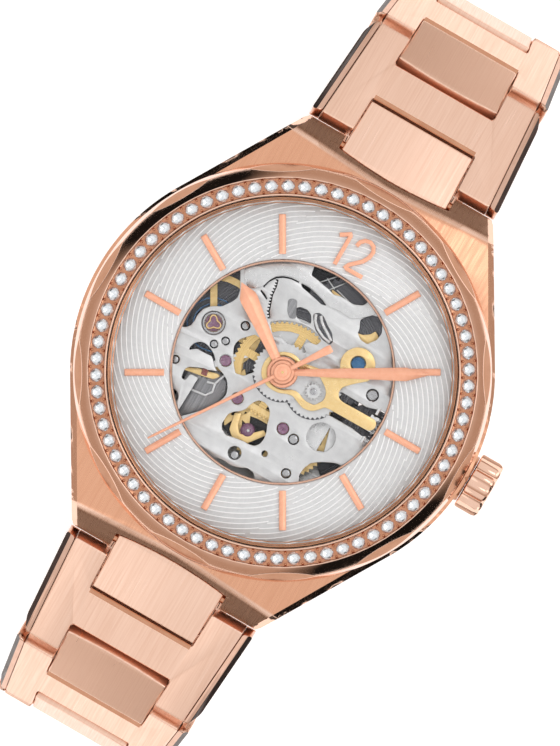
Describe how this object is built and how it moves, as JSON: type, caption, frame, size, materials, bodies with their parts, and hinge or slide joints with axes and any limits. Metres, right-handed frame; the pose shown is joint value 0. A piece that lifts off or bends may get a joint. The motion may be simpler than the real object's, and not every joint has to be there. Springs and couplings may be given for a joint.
{
  "type": "skeleton wristwatch",
  "caption": "Bracelet wristwatch with open-worked round dial, stone-set scalloped bezel, visible movement, fluted crown, tapering link bracelet and folding clasp.",
  "frame": {"origin": "centre of the outer face of the window in the case back, where the watch lies on the wrist", "axes": "+Z out through the dial, +Y to 12 o'clock, +X to 3 o'clock and the crown"},
  "size_m": [0.0381, 0.0714, 0.0458],
  "materials": {
    "rose_gold_plate": "polished and satin rose-gold plate on steel",
    "steel": "satin steel",
    "silver_plate": "silver-plated brass, circular grain",
    "gilt_brass": "gilt brass",
    "blued_steel": "blued steel",
    "dial_silver": "silvered, finely engraved",
    "clear_stone": "cut clear stones in a rose-gold setting",
    "crystal_glass": "clear",
    "seal_rubber": "matte black",
    "ring_resin": "matte grey"
  },
  "bodies": {
    "case": {"case_middle": "rose_gold_plate", "bezel": "rose_gold_plate", "stone_ring": "clear_stone", "crystal": "crystal_glass", "dial_flange": "steel", "movement_ring": "ring_resin", "case_back": "steel", "case_back_glass": "crystal_glass", "dial": "dial_silver", "aperture_ring": "rose_gold_plate", "hour_markers": "rose_gold_plate", "main_plate": "silver_plate", "train_bridge": "steel", "balance_cock": "steel", "setting_plate": "gilt_brass"},
    "crown_slider": {"crown_seal": "seal_rubber"},
    "crown_knob": {"crown": "rose_gold_plate", "winding_stem": "steel"},
    "seconds": {"fourth_wheel": "gilt_brass", "second_hand": "rose_gold_plate"},
    "minutes": {"centre_wheel": "gilt_brass", "cannon_pinion": "steel", "minute_hand": "rose_gold_plate"},
    "hours": {"hour_wheel": "gilt_brass", "hour_hand": "rose_gold_plate"},
    "third": {"third_wheel": "gilt_brass"},
    "escape": {"escape_wheel": "gilt_brass"},
    "fork": {"pallet_fork": "steel"},
    "balance": {"balance_wheel": "gilt_brass", "hairspring": "blued_steel"},
    "barrel": {"barrel": "gilt_brass", "mainspring": "steel"},
    "ratchet": {"ratchet_wheel": "steel"},
    "motion": {"minute_wheel": "gilt_brass"},
    "rotor": {"rotor": "steel"},
    "centre_link_12_1": {"centre_link_12_1": "rose_gold_plate"},
    "h_link_12_1": {"h_link_12_1": "rose_gold_plate"},
    "centre_link_12_2": {"centre_link_12_2": "rose_gold_plate"},
    "h_link_12_2": {"h_link_12_2": "rose_gold_plate"},
    "centre_link_12_3": {"centre_link_12_3": "rose_gold_plate"},
    "h_link_12_3": {"h_link_12_3": "rose_gold_plate"},
    "centre_link_12_4": {"centre_link_12_4": "rose_gold_plate"},
    "h_link_12_4": {"h_link_12_4": "rose_gold_plate"},
    "centre_link_12_5": {"centre_link_12_5": "rose_gold_plate"},
    "h_link_12_5": {"h_link_12_5": "rose_gold_plate"},
    "clasp_end_link": {"clasp_end_link": "rose_gold_plate"},
    "centre_link_6_1": {"centre_link_6_1": "rose_gold_plate"},
    "h_link_6_1": {"h_link_6_1": "rose_gold_plate"},
    "centre_link_6_2": {"centre_link_6_2": "rose_gold_plate"},
    "h_link_6_2": {"h_link_6_2": "rose_gold_plate"},
    "centre_link_6_3": {"centre_link_6_3": "rose_gold_plate"},
    "h_link_6_3": {"h_link_6_3": "rose_gold_plate"},
    "centre_link_6_4": {"centre_link_6_4": "rose_gold_plate"},
    "h_link_6_4": {"h_link_6_4": "rose_gold_plate"},
    "centre_link_6_5": {"centre_link_6_5": "rose_gold_plate"},
    "h_link_6_5": {"h_link_6_5": "rose_gold_plate"},
    "clasp_base": {"clasp_base": "steel"},
    "clasp_cover": {"clasp_cover": "rose_gold_plate"},
    "clasp_button_a": {"clasp_button_a": "rose_gold_plate"},
    "clasp_button_b": {"clasp_button_b": "rose_gold_plate"}
  },
  "joints": [
    {"name": "crown_pull", "type": "slide", "parent": "case", "child": "crown_slider", "axis": [1, 0, 0], "range_m": [0, 0.0009]},
    {"name": "crown_turn", "type": "hinge", "parent": "crown_slider", "child": "crown_knob", "pos_m": [0.019, 0, 0.0046], "axis": [1, 0, 0], "continuous": true},
    {"name": "seconds_turn", "type": "hinge", "parent": "case", "child": "seconds", "pos_m": [0, 0, 0.005], "axis": [0, 0, -1], "continuous": true},
    {"name": "minutes_turn", "type": "hinge", "parent": "case", "child": "minutes", "pos_m": [0, 0, 0.005], "axis": [0, 0, -1], "continuous": true},
    {"name": "hours_turn", "type": "hinge", "parent": "case", "child": "hours", "pos_m": [0, 0, 0.0068], "axis": [0, 0, -1], "continuous": true},
    {"name": "third_turn", "type": "hinge", "parent": "case", "child": "third", "pos_m": [0.0024, -0.0041, 0.004], "axis": [0, 0, -1], "continuous": true},
    {"name": "escape_turn", "type": "hinge", "parent": "case", "child": "escape", "pos_m": [-0.0022, -0.0038, 0.004], "axis": [0, 0, -1], "continuous": true},
    {"name": "barrel_turn", "type": "hinge", "parent": "case", "child": "barrel", "pos_m": [0.00356, 0.00508, 0.004], "axis": [0, 0, -1], "continuous": true},
    {"name": "motion_turn", "type": "hinge", "parent": "case", "child": "motion", "pos_m": [0.00306, -0.0001, 0.0065], "axis": [0, 0, -1], "continuous": true},
    {"name": "ratchet_turn", "type": "hinge", "parent": "case", "child": "ratchet", "pos_m": [0.00356, 0.00508, 0.004], "axis": [0, 0, -1], "continuous": true},
    {"name": "balance_swing", "type": "hinge", "parent": "case", "child": "balance", "pos_m": [-0.0071, 0.0007, 0.004], "axis": [0, 0, -1], "range_deg": [-220, 220], "stiffness_Nm_per_rad": 0.00000025},
    {"name": "fork_swing", "type": "hinge", "parent": "case", "child": "fork", "pos_m": [-0.00464, -0.00154, 0.0043], "axis": [0, 0, -1], "range_deg": [-5, 5]},
    {"name": "rotor_swing", "type": "hinge", "parent": "case", "child": "rotor", "pos_m": [0, 0, 0.0022], "axis": [0, 0, -1], "continuous": true},
    {"name": "centre_link_12_1_hinge", "type": "hinge", "parent": "case", "child": "centre_link_12_1", "pos_m": [0, 0.0191, 0.0032], "axis": [1, 0, 0], "range_deg": [0, 16]},
    {"name": "h_link_12_1_hinge", "type": "hinge", "parent": "centre_link_12_1", "child": "h_link_12_1", "pos_m": [0, 0.02237, 0.00226], "axis": [1, 0, 0], "range_deg": [0, 10]},
    {"name": "centre_link_12_2_hinge", "type": "hinge", "parent": "h_link_12_1", "child": "centre_link_12_2", "pos_m": [0, 0.02794, -0.00046], "axis": [1, 0, 0], "range_deg": [0, 16]},
    {"name": "h_link_12_2_hinge", "type": "hinge", "parent": "centre_link_12_2", "child": "h_link_12_2", "pos_m": [0, 0.03047, -0.00273], "axis": [1, 0, 0], "range_deg": [0, 18]},
    {"name": "centre_link_12_3_hinge", "type": "hinge", "parent": "h_link_12_2", "child": "centre_link_12_3", "pos_m": [0, 0.03357, -0.0081], "axis": [1, 0, 0], "range_deg": [0, 18]},
    {"name": "h_link_12_3_hinge", "type": "hinge", "parent": "centre_link_12_3", "child": "h_link_12_3", "pos_m": [0, 0.03427, -0.01143], "axis": [1, 0, 0], "range_deg": [0, 18]},
    {"name": "centre_link_12_4_hinge", "type": "hinge", "parent": "h_link_12_3", "child": "centre_link_12_4", "pos_m": [0, 0.03363, -0.01759], "axis": [1, 0, 0], "range_deg": [0, 16]},
    {"name": "h_link_12_4_hinge", "type": "hinge", "parent": "centre_link_12_4", "child": "h_link_12_4", "pos_m": [0, 0.03235, -0.02074], "axis": [1, 0, 0], "range_deg": [0, 16]},
    {"name": "centre_link_12_5_hinge", "type": "hinge", "parent": "h_link_12_4", "child": "centre_link_12_5", "pos_m": [0, 0.02854, -0.02563], "axis": [1, 0, 0], "range_deg": [0, 14]},
    {"name": "h_link_12_5_hinge", "type": "hinge", "parent": "centre_link_12_5", "child": "h_link_12_5", "pos_m": [0, 0.02586, -0.02772], "axis": [1, 0, 0], "range_deg": [0, 13]},
    {"name": "clasp_end_link_hinge", "type": "hinge", "parent": "h_link_12_5", "child": "clasp_end_link", "pos_m": [0, 0.02024, -0.03034], "axis": [1, 0, 0], "range_deg": [0, 4]},
    {"name": "centre_link_6_1_hinge", "type": "hinge", "parent": "case", "child": "centre_link_6_1", "pos_m": [0, -0.0191, 0.0032], "axis": [-1, 0, 0], "range_deg": [0, 16]},
    {"name": "h_link_6_1_hinge", "type": "hinge", "parent": "centre_link_6_1", "child": "h_link_6_1", "pos_m": [0, -0.02237, 0.00226], "axis": [-1, 0, 0], "range_deg": [0, 10]},
    {"name": "centre_link_6_2_hinge", "type": "hinge", "parent": "h_link_6_1", "child": "centre_link_6_2", "pos_m": [0, -0.02794, -0.00046], "axis": [-1, 0, 0], "range_deg": [0, 16]},
    {"name": "h_link_6_2_hinge", "type": "hinge", "parent": "centre_link_6_2", "child": "h_link_6_2", "pos_m": [0, -0.03047, -0.00273], "axis": [-1, 0, 0], "range_deg": [0, 18]},
    {"name": "centre_link_6_3_hinge", "type": "hinge", "parent": "h_link_6_2", "child": "centre_link_6_3", "pos_m": [0, -0.03357, -0.0081], "axis": [-1, 0, 0], "range_deg": [0, 18]},
    {"name": "h_link_6_3_hinge", "type": "hinge", "parent": "centre_link_6_3", "child": "h_link_6_3", "pos_m": [0, -0.03427, -0.01143], "axis": [-1, 0, 0], "range_deg": [0, 18]},
    {"name": "centre_link_6_4_hinge", "type": "hinge", "parent": "h_link_6_3", "child": "centre_link_6_4", "pos_m": [0, -0.03363, -0.01759], "axis": [-1, 0, 0], "range_deg": [0, 16]},
    {"name": "h_link_6_4_hinge", "type": "hinge", "parent": "centre_link_6_4", "child": "h_link_6_4", "pos_m": [0, -0.03235, -0.02074], "axis": [-1, 0, 0], "range_deg": [0, 16]},
    {"name": "centre_link_6_5_hinge", "type": "hinge", "parent": "h_link_6_4", "child": "centre_link_6_5", "pos_m": [0, -0.02854, -0.02563], "axis": [-1, 0, 0], "range_deg": [0, 14]},
    {"name": "h_link_6_5_hinge", "type": "hinge", "parent": "centre_link_6_5", "child": "h_link_6_5", "pos_m": [0, -0.02586, -0.02772], "axis": [-1, 0, 0], "range_deg": [0, 13]},
    {"name": "clasp_base_hinge", "type": "hinge", "parent": "h_link_6_5", "child": "clasp_base", "pos_m": [0, -0.02024, -0.03034], "axis": [-1, 0, 0], "range_deg": [0, 4]},
    {"name": "clasp_cover_hinge", "type": "hinge", "parent": "clasp_base", "child": "clasp_cover", "pos_m": [0, -0.01662, -0.03202], "axis": [-1, 0, 0], "range_deg": [0, 100]},
    {"name": "clasp_button_a_push", "type": "slide", "parent": "clasp_base", "child": "clasp_button_a", "axis": [-1, 0, 0], "range_m": [0, 0.0004], "stiffness_N_per_m": 300},
    {"name": "clasp_button_b_push", "type": "slide", "parent": "clasp_base", "child": "clasp_button_b", "axis": [1, 0, 0], "range_m": [0, 0.0004], "stiffness_N_per_m": 300}
  ],
  "couplings": [
    {"joint": "minutes_turn", "follows": "seconds_turn", "ratio": 0.016667},
    {"joint": "hours_turn", "follows": "seconds_turn", "ratio": 0.0013889},
    {"joint": "third_turn", "follows": "seconds_turn", "ratio": -0.13333},
    {"joint": "escape_turn", "follows": "seconds_turn", "ratio": -12},
    {"joint": "barrel_turn", "follows": "seconds_turn", "ratio": -0.0027778},
    {"joint": "motion_turn", "follows": "seconds_turn", "ratio": -0.0055556},
    {"joint": "ratchet_turn", "follows": "crown_turn", "ratio": 0.4}
  ]
}
